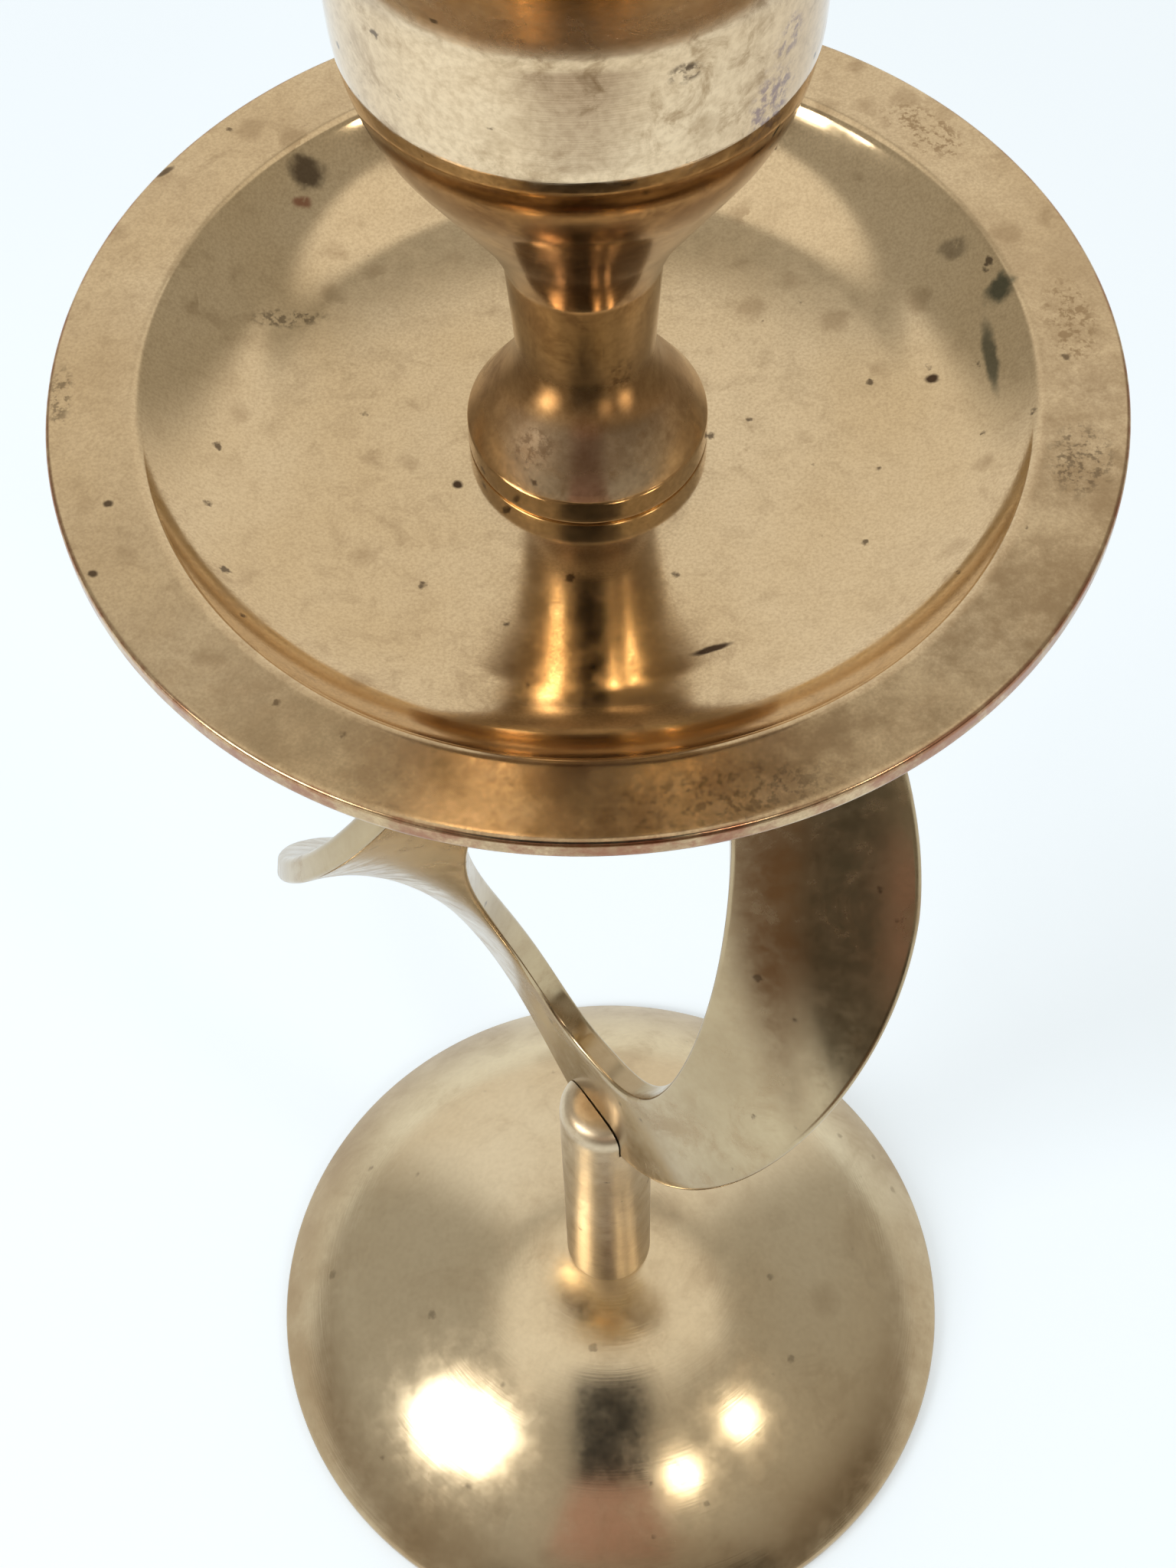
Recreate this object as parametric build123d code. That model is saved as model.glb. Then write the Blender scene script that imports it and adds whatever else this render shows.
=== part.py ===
# Brass candle holder: domed base, round post, twisted ring stem, drip pan and candle cup.
# Millimetres, +Z up. The origin is on the floor, on the axis that all the turned pieces share.
import os
from math import asin, cos, degrees, hypot, radians, sin, sqrt

from build123d import *

# Base: a dome on a short upright edge, hollow underneath
base_radius = 38.0
base_height = 18.4
base_edge_height = 1.2
base_wall = 2.0

# Post between the dome and the ring
post_radius = 4.6
post_reach = 33.5
post_edge_round = 2.0

# Twisted ring: a flat oval plate with an oval opening, turned about the upright axis
ring_half_width = 27.0
ring_half_height = 49.3
ring_plate = 2.5
ring_edge_round = 0.6
ring_outline_power = 1.65
opening_half_width = 10.9
opening_half_height = 34.0
opening_end_half_width = 2.0
opening_outline_power = 3.0
ring_mid_angle = -7.5
ring_twist_angle = 100.0
ring_section_count = 15
opening_section_count = 13

# Slots in the post and the collar that hold the ring's two ends
seat_depth = 4.0
seat_clearance = 0.1

# Collar between the ring and the drip pan
collar_reach = 10.5

# Drip pan: a flat rim round a shallow recess with a hollow-rounded wall
pan_radius = 34.0
pan_rim_width = 5.6
pan_recess_depth = 5.1
pan_cove_width = 8.4
pan_wall = 1.6
pan_edge_round = 0.4

# Candle cup: heights are measured up from the pan's floor
cup_foot_radius = 7.7
cup_foot_edge_height = 2.0
cup_ankle_radius = 5.5
cup_ankle_height = 5.4
cup_neck_radius = 4.4
cup_neck_height = 9.6
cup_throat_radius = 4.8
cup_throat_height = 16.3
cup_flare_radius = 6.8
cup_flare_height = 21.0
cup_shoulder_radius = 10.9
cup_shoulder_height = 28.0
cup_bowl_radius = 13.3
cup_bowl_height = 36.4
cup_crease_radius = 13.6
cup_crease_height = 43.9
cup_crease_angle = 18.0
cup_lip_radius = 16.6
cup_height = 51.3
cup_lip_width = 1.2
socket_radius = 11.2
socket_depth = 18.5
socket_flare_height = 6.5

# Stud through the pan, and the screw and washer under the base
stud_radius = 2.5
stud_hole_in_cup = 11.0
stud_hole_in_collar = 7.5
screw_radius = 2.5
screw_hole_in_post = 12.0
screw_head_radius = 4.4
screw_head_height = 2.8
screw_slot_width = 1.1
screw_slot_depth = 1.3
washer_radius = 7.0
washer_thickness = 1.2
washer_land_margin = 0.5
thread_clearance = 0.1
end_clearance = 0.3

# How far a cutting shape runs past the piece that it cuts
overrun = 5.0


def oval_half_width(offset, half_width, half_height, power):
    # Half the width of a super-ellipse at a height above or below its middle
    return half_width * (1 - abs(offset / half_height) ** power) ** (1 / power)


def oval_offset(width, half_width, half_height, power):
    # The height above the middle where the super-ellipse has shrunk to a half width
    return half_height * (1 - (width / half_width) ** power) ** (1 / power)


# Heights of the stack, from the floor up
ring_end_offset = oval_offset(post_radius, ring_half_width, ring_half_height, ring_outline_power)
ring_foot_z = base_height + post_reach
ring_mid_z = ring_foot_z + ring_end_offset
ring_top_z = ring_mid_z + ring_end_offset
pan_underside_z = ring_top_z + collar_reach
pan_floor_z = pan_underside_z + pan_wall
pan_rim_z = pan_floor_z + pan_recess_depth
cup_top_z = pan_floor_z + cup_height
washer_seat_z = base_height - base_wall


def ring_angle(offset):
    # The twist eases off towards both ends of the ring
    return ring_mid_angle + ring_twist_angle / 2 * sin(radians(90 * offset / ring_half_height))


def turned(edges):
    # A solid of revolution from a closed outline of radius and height
    return revolve(Plane.XZ * make_face(edges), Axis.Z)


def upright(radius, low_z, high_z):
    return Pos(0, 0, low_z) * Cylinder(radius, high_z - low_z, align=(Align.CENTER, Align.CENTER, Align.MIN))


def twisted_bar(half_height, half_width, power, end_half_width, thickness, count):
    # A bar whose width follows an oval and whose cross-section turns as it rises
    end_offset = oval_offset(end_half_width, half_width, half_height, power)
    end_phase = degrees(asin(end_offset / half_height))
    sections = []
    for index in range(count):
        phase = end_phase * (2 * index / (count - 1) - 1)
        offset = half_height * sin(radians(phase))
        width = 2 * oval_half_width(offset, half_width, half_height, power)
        place = Pos(0, 0, ring_mid_z + offset) * Rot(0, 0, ring_angle(offset))
        sections.append(place * RectangleRounded(width, thickness, ring_edge_round))
    return loft(sections)


def make_twisted_ring():
    plate = twisted_bar(
        ring_half_height, ring_half_width, ring_outline_power, post_radius, ring_plate, ring_section_count
    )
    opening = twisted_bar(
        opening_half_height,
        opening_half_width,
        opening_outline_power,
        opening_end_half_width,
        ring_plate + 2 * overrun,
        opening_section_count,
    )
    return plate - opening


def seat_slot(floor_z, angle_offset, rise):
    # A saw cut across a round piece, lined up with the end of the ring that it holds
    width = ring_plate + 2 * seat_clearance
    length = 2 * (post_radius + overrun)
    height = seat_depth + overrun
    across = Box(length, width, height, align=(Align.CENTER, Align.CENTER, Align.MIN if rise else Align.MAX))
    return Pos(0, 0, floor_z) * Rot(0, 0, ring_angle(angle_offset)) * across


def make_stem_post():
    post = upright(post_radius, base_height, ring_foot_z + seat_depth)
    post = fillet(post.edges().group_by(Axis.Z)[-1], post_edge_round)
    post -= seat_slot(ring_foot_z, seat_depth / 2 - ring_end_offset, True)
    return post - upright(screw_radius + thread_clearance, base_height - overrun, base_height + screw_hole_in_post)


def make_top_collar():
    collar = upright(post_radius, ring_top_z - seat_depth, pan_underside_z)
    collar = fillet(collar.edges().group_by(Axis.Z)[0], post_edge_round)
    collar -= seat_slot(ring_top_z, ring_end_offset - seat_depth / 2, False)
    hole_z = pan_underside_z - stud_hole_in_collar
    return collar - upright(stud_radius + thread_clearance, hole_z, pan_underside_z + overrun)


def dome_arc(radius, low_z, land_radius, land_z):
    # An arc centred on the axis, from the dome's edge up to the flat land at its crown
    centre_z = (radius**2 - land_radius**2 + low_z**2 - land_z**2) / (2 * (low_z - land_z))
    dome_radius = hypot(land_radius, land_z - centre_z)
    middle_r = (radius + land_radius) / 2
    middle_z = centre_z + sqrt(dome_radius**2 - middle_r**2)
    return ThreePointArc((radius, low_z), (middle_r, middle_z), (land_radius, land_z))


def make_domed_base():
    hole_radius = screw_radius + thread_clearance
    washer_land = washer_radius + washer_land_margin
    inner_radius = base_radius - base_wall
    outline = [
        Line((base_radius, 0), (base_radius, base_edge_height)),
        dome_arc(base_radius, base_edge_height, post_radius, base_height),
        Line((post_radius, base_height), (hole_radius, base_height)),
        Line((hole_radius, base_height), (hole_radius, washer_seat_z)),
        Line((hole_radius, washer_seat_z), (washer_land, washer_seat_z)),
        dome_arc(inner_radius, 0, washer_land, washer_seat_z),
        Line((inner_radius, 0), (base_radius, 0)),
    ]
    return turned(outline)


def make_base_washer():
    washer = upright(washer_radius, washer_seat_z - washer_thickness, washer_seat_z)
    return washer - upright(screw_radius + thread_clearance, washer_seat_z - overrun, washer_seat_z + overrun)


def make_base_screw():
    head_top_z = washer_seat_z - washer_thickness
    head_low_z = head_top_z - screw_head_height
    tip_z = base_height + screw_hole_in_post - end_clearance
    head = upright(screw_head_radius, head_low_z, head_top_z)
    slot_size = (2 * (screw_head_radius + overrun), screw_slot_width, screw_slot_depth)
    slot = Pos(0, 0, head_low_z) * Box(*slot_size, align=(Align.CENTER, Align.CENTER, Align.MIN))
    return head - slot + upright(screw_radius, head_top_z, tip_z)


def make_drip_pan():
    hole_radius = stud_radius + thread_clearance
    recess_radius = pan_radius - pan_rim_width
    floor_radius = recess_radius - pan_cove_width
    under_radius = recess_radius + pan_wall / 2
    rim_under_z = pan_rim_z - pan_wall
    outline = [
        Line((hole_radius, pan_floor_z), (floor_radius, pan_floor_z)),
        TangentArc((floor_radius, pan_floor_z), (recess_radius, pan_rim_z), tangent=(1, 0)),
        Line((recess_radius, pan_rim_z), (pan_radius, pan_rim_z)),
        Line((pan_radius, pan_rim_z), (pan_radius, rim_under_z)),
        Line((pan_radius, rim_under_z), (under_radius, rim_under_z)),
        TangentArc((floor_radius, pan_underside_z), (under_radius, rim_under_z), tangent=(1, 0)),
        Line((floor_radius, pan_underside_z), (hole_radius, pan_underside_z)),
        Line((hole_radius, pan_underside_z), (hole_radius, pan_floor_z)),
    ]
    pan = turned(outline)
    rim_edges = pan.edges().filter_by(GeomType.CIRCLE).group_by(Axis.Z)[-1]
    return fillet(rim_edges, pan_edge_round)


def make_cup_stud():
    low_z = pan_underside_z - stud_hole_in_collar + end_clearance
    return upright(stud_radius, low_z, pan_floor_z + stud_hole_in_cup - end_clearance)


def make_candle_cup():
    hole_radius = stud_radius + thread_clearance
    foot = (cup_foot_radius, pan_floor_z + cup_foot_edge_height)
    ankle = (cup_ankle_radius, pan_floor_z + cup_ankle_height)
    shin = (cup_ankle_radius - cup_foot_radius, cup_ankle_height - cup_foot_edge_height)
    neck = (cup_neck_radius, pan_floor_z + cup_neck_height)
    throat = (cup_throat_radius, pan_floor_z + cup_throat_height)
    flare = (cup_flare_radius, pan_floor_z + cup_flare_height)
    shoulder = (cup_shoulder_radius, pan_floor_z + cup_shoulder_height)
    spread = cup_shoulder_radius - cup_flare_radius
    climb = cup_shoulder_height - cup_flare_height
    bowl = (cup_bowl_radius, pan_floor_z + cup_bowl_height)
    crease = (cup_crease_radius, pan_floor_z + cup_crease_height)
    lip = (cup_lip_radius, cup_top_z)
    lean = (sin(radians(cup_crease_angle)), cos(radians(cup_crease_angle)))
    mouth = (cup_lip_radius - cup_lip_width, cup_top_z)
    socket_top = (socket_radius, cup_top_z - socket_flare_height)
    socket_floor_z = cup_top_z - socket_depth
    hole_top_z = pan_floor_z + stud_hole_in_cup
    outline = [
        Line((hole_radius, pan_floor_z), (cup_foot_radius, pan_floor_z)),
        Line((cup_foot_radius, pan_floor_z), foot),
        Line(foot, ankle),
        TangentArc(ankle, neck, tangent=shin),
        Line(neck, throat),
        TangentArc(flare, throat, tangent=(-spread, -climb)),
        Line(flare, shoulder),
        TangentArc(shoulder, bowl, tangent=(spread, climb)),
        Line(bowl, crease),
        TangentArc(crease, lip, tangent=lean),
        Line(lip, mouth),
        TangentArc(socket_top, mouth, tangent=(0, 1)),
        Line(socket_top, (socket_radius, socket_floor_z)),
        Line((socket_radius, socket_floor_z), (0, socket_floor_z)),
        Line((0, socket_floor_z), (0, hole_top_z)),
        Line((0, hole_top_z), (hole_radius, hole_top_z)),
        Line((hole_radius, hole_top_z), (hole_radius, pan_floor_z)),
    ]
    return turned(outline)


makers = {
    "domed_base": make_domed_base,
    "base_washer": make_base_washer,
    "base_screw": make_base_screw,
    "stem_post": make_stem_post,
    "twisted_ring": make_twisted_ring,
    "top_collar": make_top_collar,
    "drip_pan": make_drip_pan,
    "cup_stud": make_cup_stud,
    "candle_cup": make_candle_cup,
}
os.makedirs("parts", exist_ok=True)
for name, maker in makers.items():
    export_step(maker(), f"parts/{name}.step")
print(f"pan rim at {pan_rim_z:.2f} mm, cup top at {cup_top_z:.2f} mm, ring middle at {ring_mid_z:.2f} mm")
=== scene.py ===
from math import atan2, ceil, cos, degrees, dist, pi, radians, sin

import bmesh
import bpy
from mathutils import Matrix, Vector


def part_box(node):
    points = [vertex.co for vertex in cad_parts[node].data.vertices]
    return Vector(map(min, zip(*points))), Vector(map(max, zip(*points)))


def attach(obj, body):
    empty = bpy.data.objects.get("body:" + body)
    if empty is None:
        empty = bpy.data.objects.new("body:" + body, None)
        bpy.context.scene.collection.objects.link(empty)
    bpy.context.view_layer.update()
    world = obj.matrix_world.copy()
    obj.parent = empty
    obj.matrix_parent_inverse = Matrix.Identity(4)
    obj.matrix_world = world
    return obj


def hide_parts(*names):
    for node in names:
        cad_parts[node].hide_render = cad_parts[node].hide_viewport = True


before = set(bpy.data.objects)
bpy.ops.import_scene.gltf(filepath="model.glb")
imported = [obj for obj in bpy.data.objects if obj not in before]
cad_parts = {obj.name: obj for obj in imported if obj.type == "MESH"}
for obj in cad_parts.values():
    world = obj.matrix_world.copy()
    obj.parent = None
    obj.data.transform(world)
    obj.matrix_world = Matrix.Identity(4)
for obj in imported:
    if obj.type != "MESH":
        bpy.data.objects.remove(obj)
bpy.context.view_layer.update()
mm = 0.001
scene = bpy.context.scene
scene.view_settings.view_transform = "Standard"
print("frame loaded:", len(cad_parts), "nodes")


# turned pieces are drawn as runs of (radius, height) points, then swept round the axis
turning = {
    "runStep": 0.7 * mm, "arcStep": 0.3 * mm, "leastRun": 2, "leastArc": 4, "cornerSteps": 6, "steps": 224,
    "sharpAngle": 40, "closeBy": 1e-7,
}


def between(start, end, share):
    return tuple(a + (b - a) * share for a, b in zip(start, end))


def straightRun(start, end):
    count = max(turning["leastRun"], ceil(dist(start, end) / turning["runStep"]))
    return [between(start, end, index / count) for index in range(count + 1)]


def bentRun(start, end, heading):
    # leaves start along heading, in degrees from the outward radius, and meets end on one arc
    chordAngle = atan2(end[1] - start[1], end[0] - start[0])
    headAngle = radians(heading)
    turn = 2 * ((chordAngle - headAngle + pi) % (2 * pi) - pi)
    radius = dist(start, end) / (2 * sin(turn / 2))
    count = max(turning["leastArc"], ceil(abs(turn * radius) / turning["arcStep"]))
    points = []
    for index in range(count + 1):
        part = turn * index / count
        reach = 2 * radius * sin(part / 2)
        aim = headAngle + part / 2
        points.append((start[0] + reach * cos(aim), start[1] + reach * sin(aim)))
    return points


def shortened(points, length):
    # the run with its first stretch taken off
    left = length
    for index, (point, after) in enumerate(zip(points, points[1:])):
        step = dist(point, after)
        if step > left:
            return [between(point, after, left / step)] + points[index + 1:]
        left -= step
    return points[-1:]


def joinedRuns(runs, closed):
    # runs are (points, corner) pairs, where corner eases the join to the run before
    trimmed = [points for points, corner in runs]
    joints = {}
    for index, (points, corner) in enumerate(runs):
        if corner and (index or closed):
            joints[index] = points[0]
            trimmed[index] = shortened(trimmed[index], corner)
            trimmed[index - 1] = shortened(trimmed[index - 1][::-1], corner)[::-1]
    outline = []
    for index, points in enumerate(trimmed):
        if index in joints:
            start, joint, end = trimmed[index - 1][-1], joints[index], points[0]
            for step in range(1, turning["cornerSteps"]):
                share = step / turning["cornerSteps"]
                outline.append(between(between(start, joint, share), between(joint, end, share), share))
        outline.extend(points)
    clean = outline[:1]
    for point in outline[1:]:
        if dist(point, clean[-1]) > turning["closeBy"]:
            clean.append(point)
    if closed and dist(clean[0], clean[-1]) < turning["closeBy"]:
        clean.pop()
    return clean


def turnedMesh(name, runs, closed, steps=turning["steps"]):
    mesh = bmesh.new()
    rows = []
    for radius, height in joinedRuns(runs, closed):
        count = steps if radius > turning["closeBy"] else 1  # one point where the outline meets the axis
        angles = [2 * pi * index / count for index in range(count)]
        rows.append([mesh.verts.new((radius * cos(angle), radius * sin(angle), height)) for angle in angles])
    pairs = list(zip(rows, rows[1:]))
    if closed:
        pairs.append((rows[-1], rows[0]))
    for low, high in pairs:
        for index in range(steps):
            after = (index + 1) % steps
            if len(low) == 1:
                corners = low[0], high[after], high[index]
            elif len(high) == 1:
                corners = low[index], low[after], high[0]
            else:
                corners = low[index], low[after], high[after], high[index]
            mesh.faces.new(corners)
    bmesh.ops.recalc_face_normals(mesh, faces=mesh.faces)
    return placed(name, mesh)


def placed(name, mesh):
    data = bpy.data.meshes.new(name)
    mesh.to_mesh(data)
    mesh.free()
    piece = bpy.data.objects.new(name, data)
    scene.collection.objects.link(piece)
    return piece


def smoothed(piece):
    data = piece.data
    data.polygons.foreach_set("use_smooth", [True] * len(data.polygons))
    data.set_sharp_from_angle(angle=radians(turning["sharpAngle"]))
    weighted = piece.modifiers.new("even normals", "WEIGHTED_NORMAL")
    weighted.keep_sharp = True
    return piece


def sawCut(piece, size, place, angle):
    # takes a block out of a piece and keeps the result in its mesh
    block = bmesh.new()
    bmesh.ops.create_cube(block, size=1)
    bmesh.ops.scale(block, vec=size, verts=block.verts)
    turn = Matrix.Translation(place) @ Matrix.Rotation(angle, 4, "Z")
    bmesh.ops.transform(block, matrix=turn, verts=block.verts)
    cutter = placed("saw block", block)
    cut = piece.modifiers.new("saw cut", "BOOLEAN")
    cut.operation = "DIFFERENCE"
    cut.solver = "EXACT"
    cut.object = cutter
    bpy.context.view_layer.update()
    result = bpy.data.meshes.new_from_object(piece.evaluated_get(bpy.context.evaluated_depsgraph_get()))
    piece.modifiers.clear()
    piece.data = result
    bpy.data.objects.remove(cutter)


def handOver(piece, node, finish):
    piece.data.materials.clear()
    piece.data.materials.append(finish)
    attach(piece, "root")
    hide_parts(node)
    print("made", piece.name, "with", len(piece.data.polygons), "faces")


# small helpers for building finishes and the room out of nodes
class Nodes:
    def __init__(self, tree, space):
        self.tree = tree
        self.where = tree.nodes.new("ShaderNodeTexCoord").outputs[space]

    def fill(self, node, values):
        for key, value in values.items():
            if hasattr(value, "is_output"):
                self.tree.links.new(value, node.inputs[key])
            else:
                node.inputs[key].default_value = value

    def add(self, kind, values, **settings):
        node = self.tree.nodes.new(kind)
        for key, value in settings.items():
            setattr(node, key, value)
        self.fill(node, values)
        return node.outputs

    def math(self, kind, a, b=0.0, clamp=False):
        return self.add("ShaderNodeMath", {0: a, 1: b}, operation=kind, use_clamp=clamp)[0]

    def vectorMath(self, kind, a, b=(0, 0, 0)):
        outputs = self.add("ShaderNodeVectorMath", {0: a, 1: b}, operation=kind)
        return outputs["Value"] if kind in ("LENGTH", "DOT_PRODUCT") else outputs["Vector"]

    def axes(self, vector=None):
        return self.add("ShaderNodeSeparateXYZ", {0: vector or self.where})

    def vector(self, x, y, z):
        return self.add("ShaderNodeCombineXYZ", {0: x, 1: y, 2: z})[0]

    def ramp(self, value, low, high, fromValue=0.0, toValue=1.0):
        values = {"Value": value, "From Min": low, "From Max": high, "To Min": fromValue, "To Max": toValue}
        return self.add("ShaderNodeMapRange", values, interpolation_type="SMOOTHSTEP")["Result"]

    def blend(self, share, a, b):
        first, second = (tone if hasattr(tone, "is_output") else (*tone, 1) for tone in (a, b))
        values = {"Factor": share, 6: first, 7: second}  # 6 and 7 are the colours among the mix's inputs
        return self.add("ShaderNodeMix", values, data_type="RGBA")[2]


class Finish(Nodes):
    def __init__(self, name):
        self.material = bpy.data.materials.new(name)
        self.material.use_nodes = True
        self.material.node_tree.nodes.clear()
        super().__init__(self.material.node_tree, "Object")
        self.shader = self.tree.nodes.new("ShaderNodeBsdfPrincipled")
        output = self.tree.nodes.new("ShaderNodeOutputMaterial")
        self.tree.links.new(self.shader.outputs[0], output.inputs[0])

    def noise(self, scale, detail, rough, at=None, twist=0.0):
        values = {"Vector": at or self.where, "Scale": scale, "Detail": detail, "Roughness": rough}
        return self.add("ShaderNodeTexNoise", {**values, "Distortion": twist})

    def mottle(self, scale, detail=4.0, rough=0.55, limits=(0.0, 1.0), values=(0.0, 1.0), twist=0.0):
        # noise, eased from one value to the other between two limits
        return self.ramp(self.noise(scale, detail, rough, twist=twist)["Fac"], *limits, *values)

    def radius(self):
        x, y = self.axes()[:2]
        return self.math("SQRT", self.math("ADD", self.math("MULTIPLY", x, x), self.math("MULTIPLY", y, y)))

    def warped(self, scale, reach):
        # the surface's own place, pushed about so that spots lose their round outlines
        push = self.noise(scale, wear["warpDetail"], wear["warpRough"])["Color"]
        push = self.vectorMath("SUBTRACT", push, (0.5, 0.5, 0.5))
        return self.vectorMath("ADD", self.where, self.vectorMath("MULTIPLY", push, (reach, reach, reach)))

    def stains(self, scale, fromPick, largest, softness, warpScale, warpReach):
        # scattered spots: a cell of the pattern has one where its random pick passes fromPick
        cells = self.add("ShaderNodeTexVoronoi", {"Vector": self.warped(warpScale, warpReach), "Scale": scale})
        size = self.ramp(self.axes(cells["Color"])[0], fromPick, 1.0, 0.0, largest)
        return self.math("DIVIDE", self.math("SUBTRACT", size, cells["Distance"]), softness, True)

    def patch(self, centre, size, angle, grain, limits):
        # a soft-edged mark lying at one place, broken up by grain
        values = {"Vector": self.warped(grain, min(size)), "Location": centre, "Scale": size}
        values["Rotation"] = (0, 0, radians(angle))
        place = self.add("ShaderNodeMapping", values, vector_type="TEXTURE")[0]
        inside = self.ramp(self.vectorMath("LENGTH", place), *wear["markFade"])
        return self.math("MULTIPLY", inside, self.mottle(grain, wear["markDetail"], wear["markRough"], limits))

    def tinted(self, colour, mask, share, tone):
        return self.blend(self.math("MULTIPLY", mask, share), colour, tarnishAndShade[tone])

    def marked(self, colour, marks, grain, limits):
        for centre, size, angle, tone, share in marks:
            mark = self.patch([c * mm for c in centre], [c * mm for c in size], angle, grain, limits)
            colour = self.tinted(colour, mark, share, tone)
        return colour

    def bump(self, height, distance, strength):
        return self.add("ShaderNodeBump", {"Height": height, "Distance": distance, "Strength": strength})[0]

    def latheLines(self, along, around, detail, rough, strength):
        # fine lines round the axis, as a lathe tool leaves them
        x, y, z = self.axes()
        angle = self.math("ARCTAN2", y, x)
        place = self.vector(
            self.math("MULTIPLY", self.radius(), along),
            self.math("MULTIPLY", z, along),
            self.math("MULTIPLY", angle, around),
        )
        return self.bump(self.noise(1.0, detail, rough, place)["Fac"], wear["lineDepth"], strength)

    def dulled(self, look, cloud):
        # roughness: a haze all over, and more of it under cloudy tarnish
        return self.math("ADD", self.mottle(**look["haze"]), self.math("MULTIPLY", cloud, look["cloudRough"]))

    def close(self, colour, rough, normal=None, metallic=1.0):
        self.fill(self.shader, {"Base Color": colour, "Roughness": rough, "Metallic": metallic})
        if normal:
            self.fill(self.shader, {"Normal": normal})
        return self.material


# tarnish colours; grime also carries the cup's painted shade, and brown the painted shade at the dome's edge
tarnishAndShade = {
    "brown": (0.36, 0.235, 0.12), "dark": (0.075, 0.045, 0.025), "red": (0.30, 0.10, 0.05),
    "violet": (0.22, 0.15, 0.16), "grimeAndShade": (0.17, 0.09, 0.04), "green": (0.045, 0.06, 0.04),
}
# what all the brass shares; each piece's look sets the scale and strength of the patterns
wear = {
    "drift": {"limits": (0.32, 0.68)},
    "grain": {"detail": 3.0, "rough": 0.6, "limits": (0.3, 0.75)},
    "cloud": {"detail": 8.0, "rough": 0.7, "limits": (0.47, 0.70), "twist": 0.6},
    "patch": {"detail": 3.0, "limits": (0.34, 0.62), "values": (0.25, 1.0)},
    "stain": {"fromPick": 0.5, "largest": 0.46, "softness": 0.25, "warpScale": 700.0, "warpReach": 1.6 * mm},
    "speck": {"fromPick": 0.90, "largest": 0.30, "softness": 0.12, "warpScale": 2600.0, "warpReach": 0.6 * mm},
    "warpDetail": 3.0, "warpRough": 0.5, "markDetail": 5.0, "markRough": 0.65, "markFade": (1.0, 0.45),
    "lineDepth": 0.02 * mm,
}


def brassBase(finish, look):
    # tone drift, fine grain, cloudy tarnish in patches, soft brown stains and small dark specks
    colour = finish.blend(finish.mottle(look["driftScale"], **wear["drift"]), look["bright"], look["mellow"])
    grain = finish.mottle(look["grainScale"], **wear["grain"])
    colour = finish.tinted(colour, grain, look["grainShare"], "brown")
    cloud = finish.mottle(look["cloudScale"], **wear["cloud"])
    cloud = finish.math("MULTIPLY", cloud, finish.mottle(look["patchScale"], **wear["patch"]))
    colour = finish.tinted(colour, cloud, look["cloudShare"], "brown")
    stain = finish.stains(look["stainScale"], **wear["stain"])
    colour = finish.tinted(colour, stain, look["stainShare"], "brown")
    speck = finish.stains(look["speckScale"], **wear["speck"])
    return finish.tinted(colour, speck, look["speckShare"], "dark"), cloud


# the cup: heights are above the pan's floor
cup = {
    "footRadius": 7.7 * mm, "footEdge": 2.0 * mm, "ankle": (5.5 * mm, 5.4 * mm), "neck": (4.4 * mm, 9.6 * mm),
    "throat": (4.8 * mm, 16.3 * mm), "flare": (6.8 * mm, 21.0 * mm), "shoulder": (10.9 * mm, 28.0 * mm),
    "bowl": (13.3 * mm, 36.4 * mm), "crease": (13.6 * mm, 43.9 * mm), "creaseLean": 18.0,
    "lip": (16.6 * mm, 51.3 * mm), "lipWidth": 1.2 * mm, "mouthFlare": 6.5 * mm, "socketRadius": 11.2 * mm,
    "socketDepth": 18.5 * mm, "holeRadius": 2.6 * mm, "holeDepth": 11.0 * mm,
    "corner": 0.18 * mm, "lipCorner": 0.35 * mm, "creaseCorner": 1.2 * mm, "footCorner": 0.25 * mm,
}
cupLook = {
    "bright": (0.82, 0.64, 0.42), "mellow": (0.68, 0.49, 0.29), "driftScale": 45.0,
    "grainScale": 2200.0, "grainShare": 0.36, "cloudScale": 400.0, "patchScale": 85.0, "cloudShare": 0.95,
    "stainScale": 300.0, "stainShare": 0.35, "speckScale": 900.0, "speckShare": 0.8,
    "marks": {"grain": 1600.0, "limits": (0.42, 0.6)},
    "broken": {"scale": 150.0, "detail": 8.0, "rough": 0.7, "limits": (0.3, 0.62), "values": (0.45, 1.0)},
    "haze": {"scale": 520.0, "detail": 6.0, "rough": 0.7, "limits": (0.3, 0.8), "values": (0.03, 0.08)},
    "cloudRough": 0.10,
    "lines": {"along": 9000.0, "around": 3.0, "detail": 2.0, "rough": 0.5, "strength": 0.05},
}
# marks on the cup: place, reach, angle, tone and strength of each
cupMarks = [
    ((5.2, -12.5, 201.0), (1.1, 1.4, 0.8), 0, "dark", 0.9),
    ((10.0, -9.2, 195.5), (2.2, 2.2, 3.2), 0, "violet", 0.8),
    ((10.6, -8.4, 199.5), (1.5, 1.5, 1.6), 0, "violet", 0.7),
    ((3.5, -11.5, 191.0), (2.6, 2.0, 0.8), 0, "brown", 0.9),
    ((-3.4, -5.2, 164.0), (2.0, 1.6, 2.6), 0, "dark", 0.6),
    ((2.4, -4.2, 169.0), (1.5, 1.2, 2.0), 0, "dark", 0.6),
]
# grime and painted shade round the cup, darkest under the bowl, down the waist and foot and under the lip's
# flare, with one band dimming window reflections at the neck: the heights between which it fades in and out, its
# strength and how much it dulls
cupGrimeAndShade = [
    ((162.0, 163.6, 167.0, 170.0), 0.50, 0.12),
    ((158.0, 159.0, 168.0, 172.0), 0.40, 0.13),
    ((166.0, 170.0, 176.0, 182.0), 0.40, 0.04),
    ((174.0, 179.0, 190.0, 193.5), 0.90, 0.10),
    ((202.6, 203.4, 206.0, 210.0), 0.10, 0.20),
]


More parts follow.
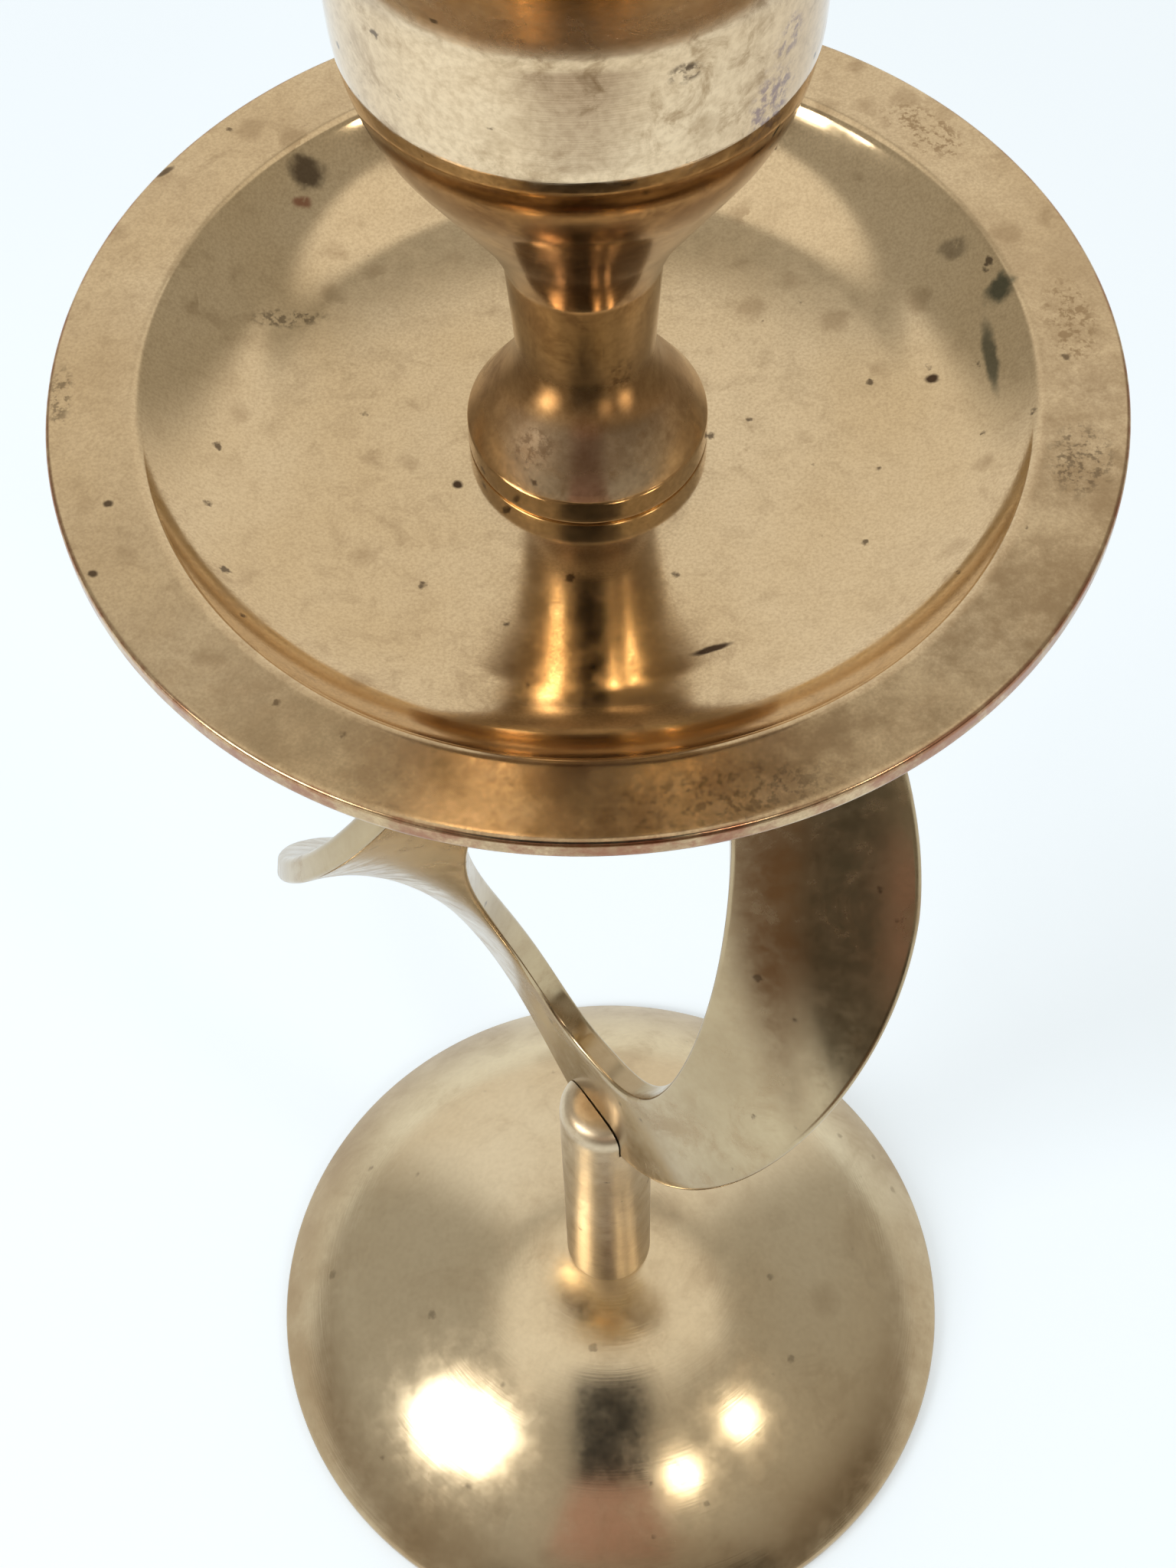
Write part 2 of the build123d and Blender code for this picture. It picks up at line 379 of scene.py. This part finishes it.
def cupFinish():
    finish = Finish("tarnished cup brass")
    colour, cloud = brassBase(finish, cupLook)
    colour = finish.marked(colour, cupMarks, **cupLook["marks"])
    height = finish.axes()[2]
    broken = finish.mottle(**cupLook["broken"])
    rough = finish.dulled(cupLook, cloud)
    # each band lays grime and painted shade over the cup between its heights
    for levels, share, dulled in cupGrimeAndShade:
        low, lowFull, highFull, high = (level * mm for level in levels)
        band = finish.math("MULTIPLY", finish.ramp(height, low, lowFull), finish.ramp(height, high, highFull))
        rough = finish.math("ADD", rough, finish.math("MULTIPLY", band, dulled))
        colour = finish.tinted(colour, finish.math("MULTIPLY", band, broken), share, "grimeAndShade")
    return finish.close(colour, rough, finish.latheLines(**cupLook["lines"]))


def makeCup():
    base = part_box("candle_cup")[0].z

    def up(point):
        return point[0], base + point[1]

    ankle, neck, throat, flare, shoulder, bowl, crease, lip = (
        up(cup[part]) for part in ("ankle", "neck", "throat", "flare", "shoulder", "bowl", "crease", "lip")
    )
    foot = up((cup["footRadius"], cup["footEdge"]))
    footUnder = up((cup["footRadius"], 0))
    holeMouth = up((cup["holeRadius"], 0))
    holeTop = up((cup["holeRadius"], cup["holeDepth"]))
    mouth = (lip[0] - cup["lipWidth"], lip[1])
    socketTop = (cup["socketRadius"], lip[1] - cup["mouthFlare"])
    socketFloor = (cup["socketRadius"], lip[1] - cup["socketDepth"])
    shin = degrees(atan2(ankle[1] - foot[1], ankle[0] - foot[0]))
    rise = degrees(atan2(shoulder[1] - flare[1], shoulder[0] - flare[0]))
    corner = cup["corner"]
    runs = [
        (straightRun((0, socketFloor[1]), socketFloor), 0),
        (straightRun(socketFloor, socketTop), cup["lipCorner"]),
        (bentRun(socketTop, mouth, 90), 0),
        (straightRun(mouth, lip), cup["lipCorner"]),
        (bentRun(crease, lip, 90 - cup["creaseLean"])[::-1], cup["lipCorner"]),
        (straightRun(crease, bowl), cup["creaseCorner"]),
        (bentRun(shoulder, bowl, rise)[::-1], 0),
        (straightRun(shoulder, flare), 0),
        (bentRun(flare, throat, rise - 180), 0),
        (straightRun(throat, neck), corner),
        (bentRun(ankle, neck, shin)[::-1], 0),
        (straightRun(ankle, foot), 0),
        (straightRun(foot, footUnder), corner),
        (straightRun(footUnder, holeMouth), cup["footCorner"]),
        (straightRun(holeMouth, holeTop), corner),
        (straightRun(holeTop, (0, holeTop[1])), corner),
    ]
    handOver(smoothed(turnedMesh("candleCup", runs, False)), "candle_cup", cupFinish())


# the drip pan: heights are above its underside, apart from the dish, by which the floor rises outwards
pan = {
    "radius": 34.0 * mm, "rimWidth": 5.6 * mm, "recess": 5.1 * mm, "coveWidth": 8.4 * mm, "wall": 1.6 * mm,
    "hole": 2.6 * mm, "seat": 8.2 * mm, "dish": 0.65 * mm, "edgeCorner": 0.4 * mm, "innerCorner": 0.5 * mm,
    "underCorner": 0.3 * mm, "steps": 288,
}
panLook = {
    "bright": (0.82, 0.635, 0.39), "mellow": (0.72, 0.53, 0.295), "driftScale": 40.0,
    "grainScale": 4800.0, "grainShare": 0.34, "cloudScale": 420.0, "patchScale": 60.0, "cloudShare": 0.40,
    "stainScale": 360.0, "stainShare": 0.45, "speckScale": 760.0, "speckShare": 0.8,
    "marks": {"grain": 900.0, "limits": (0.2, 0.4)}, "smudges": {"grain": 1900.0, "limits": (0.48, 0.60)},
    "rimFade": (-0.3 * mm, 0.4 * mm), "rimRough": 0.09,
    "rightLean": 0.6, "frontFade": (-6 * mm, 34 * mm), "frontShare": (0.2, 0.82),
    "frontRimDarkening": {"scale": 140.0, "detail": 9.0, "rough": 0.75, "limits": (0.36, 0.62), "values": (0.1, 1.0)},
    "edgeFade": (-0.35 * mm, -0.1 * mm), "edgeShare": 0.8,
    "edge": {"scale": 240.0, "detail": 6.0, "rough": 0.7, "limits": (0.38, 0.6)},
    "haze": {"scale": 600.0, "detail": 6.0, "rough": 0.7, "limits": (0.3, 0.8), "values": (0.08, 0.15)},
    "cloudRough": 0.05,
    "lines": {"along": 5200.0, "around": 2.0, "detail": 3.0, "rough": 0.6, "strength": 0.05},
}
# marks on the pan: place, reach, angle, tone and strength of each
panMarks = [
    ((7.2, -17.8, 159.8), (1.7, 0.32, 2.0), 19, "dark", 1.0),
    ((-18.3, 19.7, 163.5), (1.6, 1.4, 2.5), 20, "dark", 0.85),
    ((-18.8, 17.9, 162.9), (0.9, 0.6, 2.0), 20, "red", 0.8),
    ((26.8, 7.2, 164.0), (1.2, 1.3, 3.0), 0, "green", 0.85),
    ((25.9, 2.6, 163.0), (0.55, 3.8, 3.0), 2, "green", 0.75),
    ((24.2, 11.5, 163.4), (1.3, 0.9, 2.0), -20, "dark", 0.5),
    ((22.3, 2.5, 160.7), (0.6, 0.5, 2.0), 0, "dark", 1.0),
    ((-8.4, -4.2, 159.4), (0.5, 0.42, 1.5), 0, "dark", 1.0),
    ((-29.4, -9.0, 164.4), (0.42, 0.36, 1.0), 0, "dark", 0.9),
    ((-29.9, -14.3, 164.4), (0.42, 0.36, 1.0), 0, "dark", 0.9),
    ((-27.8, 18.9, 164.4), (0.9, 0.35, 1.0), 40, "dark", 0.8),
]
# larger rubbed places, broken into scratches and dots
panSmudges = [
    ((30.3, -7.6, 164.4), (2.6, 3.6, 1.0), -14, "dark", 0.55),
    ((31.0, 3.6, 164.4), (2.2, 4.8, 1.0), 4, "brown", 0.85),
    ((23.2, 20.9, 164.4), (4.4, 2.4, 1.0), -45, "brown", 0.85),
    ((-33.0, -0.5, 164.4), (0.9, 3.2, 1.0), 0, "dark", 0.55),
    ((7.0, -31.0, 164.4), (9.0, 2.6, 1.0), 10, "dark", 0.4),
    ((-19.6, 9.3, 160.3), (3.4, 0.9, 2.0), 8, "dark", 0.6),
]


def panFinish():
    finish = Finish("worn pan brass")
    colour, cloud = brassBase(finish, panLook)
    radius = finish.radius()
    onRim = finish.ramp(radius, *(pan["radius"] - pan["rimWidth"] + fade for fade in panLook["rimFade"]))
    x, y = finish.axes()[:2]
    # the rim darkens in brown towards its front and right
    frontRight = finish.math("SUBTRACT", finish.math("MULTIPLY", x, panLook["rightLean"]), y)
    frontRight = finish.ramp(frontRight, *panLook["frontFade"], *panLook["frontShare"])
    frontRimDarkening = finish.math("MULTIPLY", finish.math("MULTIPLY", onRim, frontRight), finish.mottle(**panLook["frontRimDarkening"]))
    colour = finish.blend(frontRimDarkening, colour, tarnishAndShade["brown"])
    colour = finish.marked(colour, panMarks, **panLook["marks"])
    colour = finish.marked(colour, panSmudges, **panLook["smudges"])
    edge = finish.ramp(radius, *(pan["radius"] + fade for fade in panLook["edgeFade"]))
    edge = finish.math("MULTIPLY", edge, finish.mottle(**panLook["edge"]))
    colour = finish.tinted(colour, edge, panLook["edgeShare"], "red")
    rimRough = finish.math("MULTIPLY", onRim, panLook["rimRough"])
    rough = finish.math("ADD", finish.dulled(panLook, cloud), rimRough)
    return finish.close(colour, rough, finish.latheLines(**panLook["lines"]))


def makePan():
    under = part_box("drip_pan")[0].z
    floor = under + pan["wall"]
    rim = floor + pan["recess"]
    rimUnder = rim - pan["wall"]
    recessRadius = pan["radius"] - pan["rimWidth"]
    floorRadius = recessRadius - pan["coveWidth"]
    underRadius = recessRadius + pan["wall"] / 2
    dishEdge = (floorRadius, floor + pan["dish"])
    dishSlope = degrees(2 * atan2(pan["dish"], floorRadius - pan["seat"]))
    runs = [
        (straightRun((pan["hole"], floor), (pan["seat"], floor)), pan["underCorner"]),
        (bentRun((pan["seat"], floor), dishEdge, 0), 0),
        (bentRun(dishEdge, (recessRadius, rim), dishSlope), 0),
        (straightRun((recessRadius, rim), (pan["radius"], rim)), pan["innerCorner"]),
        (straightRun((pan["radius"], rim), (pan["radius"], rimUnder)), pan["edgeCorner"]),
        (straightRun((pan["radius"], rimUnder), (underRadius, rimUnder)), pan["edgeCorner"]),
        (bentRun((floorRadius, under), (underRadius, rimUnder), 0)[::-1], pan["underCorner"]),
        (straightRun((floorRadius, under), (pan["hole"], under)), 0),
        (straightRun((pan["hole"], under), (pan["hole"], floor)), pan["underCorner"]),
    ]
    piece = smoothed(turnedMesh("dripPan", runs, True, pan["steps"]))
    handOver(piece, "drip_pan", panFinish())


# the twisted ring: angles in degrees about the upright axis
ring = {
    "halfWidth": 27.0 * mm, "halfHeight": 49.3 * mm, "plate": 2.5 * mm, "outlinePower": 1.65,
    "openWidth": 10.9 * mm, "openHeight": 34.0 * mm, "openPower": 3.0, "midAngle": -7.5, "twist": 100.0,
    "outerRound": 0.6 * mm, "innerRound": 0.45 * mm, "loopSteps": 420, "bandSteps": 18, "roundSteps": 5,
}
# the ring's brass is toned darker and greyer than the other pieces, as painted shade for the shaded floor it
# mirrors
ringLook = {
    "bright": (0.54, 0.425, 0.26), "mellow": (0.42, 0.315, 0.185), "driftScale": 60.0,
    "grainScale": 1500.0, "grainShare": 0.15, "cloudScale": 170.0, "patchScale": 50.0, "cloudShare": 0.6,
    "stainScale": 220.0, "stainShare": 0.4, "speckScale": 600.0, "speckShare": 0.6,
    "haze": {"scale": 430.0, "detail": 6.0, "rough": 0.7, "limits": (0.3, 0.8), "values": (0.15, 0.28)},
    "cloudRough": 0.15,
    "waves": {"scale": 60.0, "detail": 2.0, "rough": 0.55}, "waveDepth": 0.25 * mm, "waveShare": 0.25,
}


def ringAngle(offset):
    # the twist runs fast at mid height and slows towards both ends
    return radians(ring["midAngle"] + ring["twist"] / 2 * sin(radians(90 * offset / ring["halfHeight"])))


def ringFinish():
    finish = Finish("polished ring brass")
    colour, cloud = brassBase(finish, ringLook)
    waves = finish.noise(**ringLook["waves"])["Fac"]
    normal = finish.bump(waves, ringLook["waveDepth"], ringLook["waveShare"])
    return finish.close(colour, finish.dulled(ringLook, cloud), normal)


def ringSection(length):
    # the band's cross-section: distances from the opening's edge and from the plate's middle
    half = ring["plate"] / 2
    inner, outer = ring["innerRound"], ring["outerRound"]
    count, steps = ring["bandSteps"], ring["roundSteps"]
    reaches = [inner + (length - inner - outer) * step / count for step in range(count + 1)]

    def rounded(centre, radius, way):
        points = []
        for flat, quarter in ((half - radius, range(1, steps + 1)), (radius - half, range(steps, 2 * steps))):
            for step in quarter:
                turn = pi * step / (2 * steps)
                points.append((centre + way * radius * sin(turn), way * (flat + radius * cos(turn))))
        return points

    front = [(reach, half) for reach in reaches]
    back = [(reach, -half) for reach in reversed(reaches)]
    return front + rounded(length - outer, outer, 1) + back + rounded(inner, inner, -1)


def makeRing():
    low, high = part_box("twisted_ring")
    middle = (low.z + high.z) / 2
    endOffset = (high.z - low.z) / 2
    outlinePower, openPower = 2 / ring["outlinePower"], ring["openPower"]
    mesh = bmesh.new()
    rows = []
    for loop in range(ring["loopSteps"]):
        phase = 2 * pi * loop / ring["loopSteps"]
        side, way = (1 if part >= 0 else -1 for part in (cos(phase), sin(phase)))
        rise = abs(sin(phase)) ** outlinePower
        outer = Vector((
            side * ring["halfWidth"] * abs(cos(phase)) ** outlinePower,
            way * min(ring["halfHeight"] * rise, endOffset),
        ))
        inner = Vector((
            side * ring["openWidth"] * (1 - min(rise, 1) ** openPower) ** (1 / openPower),
            way * ring["openHeight"] * rise,
        ))
        along = (outer - inner).normalized()
        row = []
        for reach, thick in ringSection((outer - inner).length):
            spot = inner + along * reach
            c, s = cos(ringAngle(spot.y)), sin(ringAngle(spot.y))
            row.append(mesh.verts.new((spot.x * c - thick * s, spot.x * s + thick * c, middle + spot.y)))
        rows.append(row)
    for row, after in zip(rows, rows[1:] + rows[:1]):
        for index in range(len(row)):
            follow = (index + 1) % len(row)
            mesh.faces.new((row[index], row[follow], after[follow], after[index]))
    bmesh.ops.recalc_face_normals(mesh, faces=mesh.faces)
    handOver(smoothed(placed("twistedRing", mesh)), "twisted_ring", ringFinish())


# post under the ring and collar above it, each with a saw cut that takes the ring's end
post = {
    "radius": 4.6 * mm, "corner": 2.4 * mm, "holeRadius": 2.6 * mm, "holeDepth": 12.0 * mm,
    "seat": 4.0 * mm, "cutWidth": 2.7 * mm, "cutLength": 18.4 * mm,
}
collar = {**post, "holeDepth": 7.5 * mm}
stemLook = {
    "bright": (0.74, 0.61, 0.43), "mellow": (0.62, 0.49, 0.32), "driftScale": 80.0,
    "grainScale": 1800.0, "grainShare": 0.15, "cloudScale": 300.0, "patchScale": 90.0, "cloudShare": 0.4,
    "stainScale": 260.0, "stainShare": 0.3, "speckScale": 700.0, "speckShare": 0.6,
    "haze": {"scale": 500.0, "detail": 6.0, "rough": 0.7, "limits": (0.3, 0.8), "values": (0.34, 0.46)},
    "lines": {"along": 7000.0, "around": 2.0, "detail": 2.0, "rough": 0.5, "strength": 0.2},
}


def stemFinish():
    finish = Finish("polished stem brass")
    colour = brassBase(finish, stemLook)[0]
    return finish.close(colour, finish.mottle(**stemLook["haze"]), finish.latheLines(**stemLook["lines"]))


def makeStemPieces():
    finish = stemFinish()
    ringLow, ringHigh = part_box("twisted_ring")
    middle = (ringLow.z + ringHigh.z) / 2
    endOffset = (ringHigh.z - ringLow.z) / 2
    for name, node, bar, inward in (("stemPost", "stem_post", post, 1), ("topCollar", "top_collar", collar, -1)):
        low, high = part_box(node)
        tail, tip = (low.z, high.z) if inward > 0 else (high.z, low.z)  # the tip takes the ring
        radius, hole = bar["radius"], bar["holeRadius"]
        holeEnd = tail + inward * bar["holeDepth"]
        runs = [
            (straightRun((0, holeEnd), (hole, holeEnd)), 0),
            (straightRun((hole, holeEnd), (hole, tail)), 0),
            (straightRun((hole, tail), (radius, tail)), 0),
            (straightRun((radius, tail), (radius, tip)), 0),
            (straightRun((radius, tip), (0, tip)), bar["corner"]),
        ]
        piece = turnedMesh(name, runs, False)
        block = (bar["cutLength"], bar["cutWidth"], 2 * bar["seat"])
        cutMiddle = inward * (bar["seat"] - endOffset)
        angle = ringAngle(inward * (bar["seat"] / 2 - endOffset))
        sawCut(piece, block, (0, 0, middle + cutMiddle), angle)
        handOver(smoothed(piece), node, finish)


# the dome: its crown is a flat land under the post, its edge a short upright band
dome = {
    "radius": 38.0 * mm, "height": 18.4 * mm, "edge": 1.2 * mm, "wall": 2.0 * mm, "land": 4.6 * mm,
    "washerLand": 7.5 * mm, "hole": 2.6 * mm, "corner": 0.35 * mm, "steps": 288,
}
domeLook = {
    "bright": (0.82, 0.68, 0.455), "mellow": (0.72, 0.565, 0.35), "driftScale": 28.0,
    "grainScale": 1500.0, "grainShare": 0.10, "cloudScale": 120.0, "patchScale": 40.0, "cloudShare": 0.35,
    "stainScale": 160.0, "stainShare": 0.25, "speckScale": 500.0, "speckShare": 0.4,
    "edgeFade": (29.0 * mm, 36.5 * mm),
    "edge": {"scale": 60.0, "detail": 6.0, "rough": 0.65, "limits": (0.3, 0.65), "values": (0.45, 0.85)},
    "haze": {"scale": 420.0, "detail": 6.0, "rough": 0.7, "limits": (0.3, 0.8), "values": (0.15, 0.24)},
    "cloudRough": 0.08,
    "lines": {"along": 4200.0, "around": 2.0, "detail": 2.0, "rough": 0.5, "strength": 0.15},
}


def sphereHeading(start, end):
    # degrees along which an arc centred on the axis leaves start on its way to end
    centre = (start[0] ** 2 - end[0] ** 2 + start[1] ** 2 - end[1] ** 2) / (2 * (start[1] - end[1]))
    return degrees(atan2(start[0], centre - start[1]))


def domeFinish():
    finish = Finish("polished dome brass")
    colour, cloud = brassBase(finish, domeLook)
    # painted shade: a brown band darkens the dome towards its edge, where it mirrors the floor beside the base
    edge = finish.ramp(finish.radius(), *domeLook["edgeFade"])
    edge = finish.math("MULTIPLY", edge, finish.mottle(**domeLook["edge"]))
    colour = finish.blend(edge, colour, tarnishAndShade["brown"])
    return finish.close(colour, finish.dulled(domeLook, cloud), finish.latheLines(**domeLook["lines"]))


def makeDome():
    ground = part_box("domed_base")[0].z
    top = ground + dome["height"]
    seat = top - dome["wall"]
    outerFoot = (dome["radius"], ground)
    innerFoot = (dome["radius"] - dome["wall"], ground)
    edge = (dome["radius"], ground + dome["edge"])
    crown = (dome["land"], top)
    washerEdge = (dome["washerLand"], seat)
    runs = [
        (straightRun(outerFoot, edge), dome["corner"]),
        (bentRun(edge, crown, sphereHeading(edge, crown)), dome["corner"]),
        (straightRun(crown, (dome["hole"], top)), 0),
        (straightRun((dome["hole"], top), (dome["hole"], seat)), 0),
        (straightRun((dome["hole"], seat), washerEdge), 0),
        (bentRun(innerFoot, washerEdge, sphereHeading(innerFoot, washerEdge))[::-1], 0),
        (straightRun(innerFoot, outerFoot), dome["corner"]),
    ]
    piece = smoothed(turnedMesh("domedBase", runs, True, dome["steps"]))
    handOver(piece, "domed_base", domeFinish())


# washer, screw and stud keep their own shape and are given plain steel
steelLook = {
    "nodes": ("base_washer", "base_screw", "cup_stud"),
    "bright": (0.52, 0.51, 0.49), "mellow": (0.38, 0.36, 0.34), "rust": (0.20, 0.10, 0.05),
    "drift": {"scale": 300.0, "detail": 5.0, "limits": (0.3, 0.7)},
    "rusty": {"scale": 700.0, "detail": 6.0, "rough": 0.7, "limits": (0.6, 0.75), "values": (0.0, 0.5)},
    "haze": {"scale": 900.0, "limits": (0.3, 0.7), "values": (0.28, 0.45)},
    "grain": {"scale": 1500.0, "detail": 3.0, "rough": 0.55}, "grainDepth": 0.03 * mm, "grainShare": 0.3,
}


def finishHardware():
    finish = Finish("plain steel")
    colour = finish.blend(finish.mottle(**steelLook["drift"]), steelLook["bright"], steelLook["mellow"])
    colour = finish.blend(finish.mottle(**steelLook["rusty"]), colour, steelLook["rust"])
    grain = finish.noise(**steelLook["grain"])["Fac"]
    normal = finish.bump(grain, steelLook["grainDepth"], steelLook["grainShare"])
    steel = finish.close(colour, finish.mottle(**steelLook["haze"]), normal)
    for name in steelLook["nodes"]:
        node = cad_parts[name]
        node.data.materials.clear()
        node.data.materials.append(steel)
    print("steel on", len(steelLook["nodes"]), "nodes")


# the floor, whose glow is seen directly and in mirrors but lights nothing
stage = {
    "floorSize": 6.0, "floorCells": 8, "floorDrop": 0.2 * mm, "floorColour": (0.705, 0.795, 0.885),
    "floorDrift": {"scale": 3.0, "detail": 2.0, "limits": (0.3, 0.7)}, "floorDim": 0.985,
    "floorRough": 0.9, "floorSpecular": 0.1, "glow": (0.94, 0.985, 1.0), "glowShare": 0.36,
}
# the room: walls under a ceiling, with areas over them that fade in towards a way and out with height
room = {
    "wall": (0.40, 0.385, 0.35), "ceiling": (0.88, 0.855, 0.81), "wallTop": (0.835, 0.885),
    "areas": {
        "backdrop": {"way": (0.0, 1.0, 0.0), "ahead": (0.62, 0.85), "top": (0.82, 0.785),
                     "colour": (0.84, 0.83, 0.81)},
        "dimCeiling": {"way": (0.20, -0.98, 0.0), "ahead": (0.25, 0.75), "top": (0.97, 0.86),
                       "colour": (0.42, 0.40, 0.36)},
        "shade": {"way": (0.50, -0.866, 0.0), "ahead": (0.50, 0.85), "top": (0.30, 0.05),
                  "colour": (0.19, 0.165, 0.125)},
    },
}
window = {"away": 0.9, "size": (0.22, 0.24), "power": 1.5, "colour": (1.0, 0.985, 0.96)}
bulb = {"away": 0.9, "size": (0.09, 0.09), "power": 0.40, "colour": (1.0, 0.95, 0.86)}
lamps = {
    "leftWindow": {**window, "azimuth": -126, "elevation": 42},
    "nearWindow": {**window, "azimuth": -115, "elevation": 36},
    "frontLamp": {**bulb, "azimuth": 155, "elevation": 43},
    "rightLamp": {**bulb, "azimuth": 126, "elevation": 45},
}


def aimed(azimuth, elevation, away):
    # azimuth 0 is behind the object, 90 on its right; elevation is above the horizon
    a, e = radians(azimuth), radians(elevation)
    return Vector((sin(a) * cos(e), cos(a) * cos(e), sin(e))) * away


def makeRoom():
    world = bpy.data.worlds.new("studio")
    scene.world = world
    world.use_nodes = True
    nodes = Nodes(world.node_tree, "Generated")
    x, y, z = nodes.axes()
    bearing = nodes.vectorMath("NORMALIZE", nodes.vector(x, y, 0.0))
    colour = nodes.blend(nodes.ramp(z, *room["wallTop"]), room["wall"], room["ceiling"])
    for area in room["areas"].values():
        ahead = nodes.ramp(nodes.vectorMath("DOT_PRODUCT", bearing, area["way"]), *area["ahead"])
        share = nodes.math("MULTIPLY", ahead, nodes.ramp(z, *area["top"]))
        colour = nodes.blend(share, colour, area["colour"])
    nodes.fill(nodes.tree.nodes["Background"], {"Color": colour})


def makeStage():
    mesh = bmesh.new()
    cells = stage["floorCells"]
    bmesh.ops.create_grid(mesh, x_segments=cells, y_segments=cells, size=stage["floorSize"] / 2)
    floor = placed("paleFloor", mesh)
    floor.location.z = -stage["floorDrop"]
    finish = Finish("pale floor")
    dim = [part * stage["floorDim"] for part in stage["floorColour"]]
    colour = finish.blend(finish.mottle(**stage["floorDrift"]), stage["floorColour"], dim)
    floor.data.materials.append(finish.close(colour, stage["floorRough"], metallic=0.0))
    rays = finish.tree.nodes.new("ShaderNodeLightPath").outputs
    seen = finish.math("ADD", rays["Is Camera Ray"], rays["Is Glossy Ray"])
    seen = finish.math("ADD", seen, rays["Is Transmission Ray"], True)
    finish.fill(finish.shader, {
        "Specular IOR Level": stage["floorSpecular"],
        "Emission Color": (*stage["glow"], 1),
        "Emission Strength": finish.math("MULTIPLY", seen, stage["glowShare"]),
    })
    for name, lamp in lamps.items():
        light = bpy.data.lights.new(name, "AREA")
        light.shape = "RECTANGLE"
        light.size, light.size_y = lamp["size"]
        light.energy = lamp["power"]
        light.color = lamp["colour"]
        holder = bpy.data.objects.new(name, light)
        holder.location = aimed(lamp["azimuth"], lamp["elevation"], lamp["away"])
        holder.rotation_euler = (-holder.location).to_track_quat("-Z", "Y").to_euler()
        scene.collection.objects.link(holder)
    makeRoom()
    print("stage set with", len(lamps), "lamps")


# cards on the viewer's side give the brass something to mirror; foot is the middle of a card's lower edge
cards = {
    "darkCard": {"foot": (0.04, -0.55, 0.0), "size": (0.80, 0.17), "lean": 80, "colour": (0.10, 0.09, 0.07)},
    "rosyCard": {"foot": (-0.01, -0.36, 0.15), "size": (0.22, 0.30), "lean": 75, "colour": (0.52, 0.32, 0.27)},
    # painted shadow: the low brown sheet lying on the floor in front stands for the viewer's shadow, for the
    # brass to mirror
    "floorShadowCard": {"foot": (0.0, -0.14, 0.003), "size": (0.62, 0.60), "lean": 0, "colour": (0.20, 0.115, 0.06),
                "fadeAcross": (0.30, 0.10), "fadeAlong": (-0.15, -0.235)},
}
cardRough = 0.9


def cardFinish(name, card):
    # a card with fade limits melts away at its near edge and its sides
    finish = Finish(name)
    if "fadeAcross" in card:
        x, y = finish.axes()[:2]
        across = finish.ramp(finish.math("ABSOLUTE", x), *card["fadeAcross"])
        along = finish.ramp(y, *card["fadeAlong"])
        finish.fill(finish.shader, {"Alpha": finish.math("MULTIPLY", across, along)})
    return finish.close((*card["colour"], 1), cardRough, metallic=0.0)


def standCard(name, corners, card):
    mesh = bmesh.new()
    mesh.faces.new([mesh.verts.new(corner) for corner in corners])
    sheet = placed(name, mesh)
    sheet.data.materials.append(cardFinish(name + " paper", card))
    sheet.visible_camera = False
    sheet.visible_shadow = False
    sheet.visible_diffuse = False


def makeCards():
    for name, card in cards.items():
        lean = radians(card["lean"])
        width, height = card["size"]
        foot = Vector(card["foot"])
        side = Vector((width / 2, 0, 0))
        rise = Vector((0, -cos(lean), sin(lean))) * height
        standCard(name, [foot - side, foot + side, foot + side + rise, foot - side + rise], card)
    print("stood", len(cards), "cards")


# the camera, and a dark card just behind it for the viewer's own mirror image
view = {
    "lens": 58.59, "sensor": 36.0, "clipStart": 0.005, "place": (0.0, -0.10596, 0.28772),
    "pitch": 58.365, "yaw": -0.3825, "roll": -1.7927,
}
viewerCard = {"width": 0.115, "above": 0.020, "below": 0.140, "behind": 0.006, "colour": (0.012, 0.012, 0.013)}


def makeCamera():
    pitch, yaw, roll = (radians(view[key]) for key in ("pitch", "yaw", "roll"))
    ahead = Vector((sin(yaw) * cos(pitch), cos(yaw) * cos(pitch), -sin(pitch)))
    level = Vector((cos(yaw), -sin(yaw), 0))
    above = level.cross(ahead)
    right = level * cos(roll) + above * sin(roll)
    up = above * cos(roll) - level * sin(roll)
    data = bpy.data.cameras.new("view")
    data.lens = view["lens"]
    data.sensor_width = view["sensor"]
    data.clip_start = view["clipStart"]
    camera = bpy.data.objects.new("view", data)
    turn = Matrix((right, up, -ahead)).transposed().to_4x4()
    camera.matrix_world = Matrix.Translation(view["place"]) @ turn
    scene.collection.objects.link(camera)
    scene.camera = camera
    centre = Vector(view["place"]) - ahead * viewerCard["behind"]
    side = right * viewerCard["width"] / 2
    top = centre + up * viewerCard["above"]
    bottom = centre - up * viewerCard["below"]
    standCard("viewerCard", [bottom - side, bottom + side, top + side, top - side], viewerCard)
    print("camera placed")


makeCup()
makePan()
makeRing()
makeStemPieces()
makeDome()
finishHardware()
makeStage()
makeCards()
makeCamera()
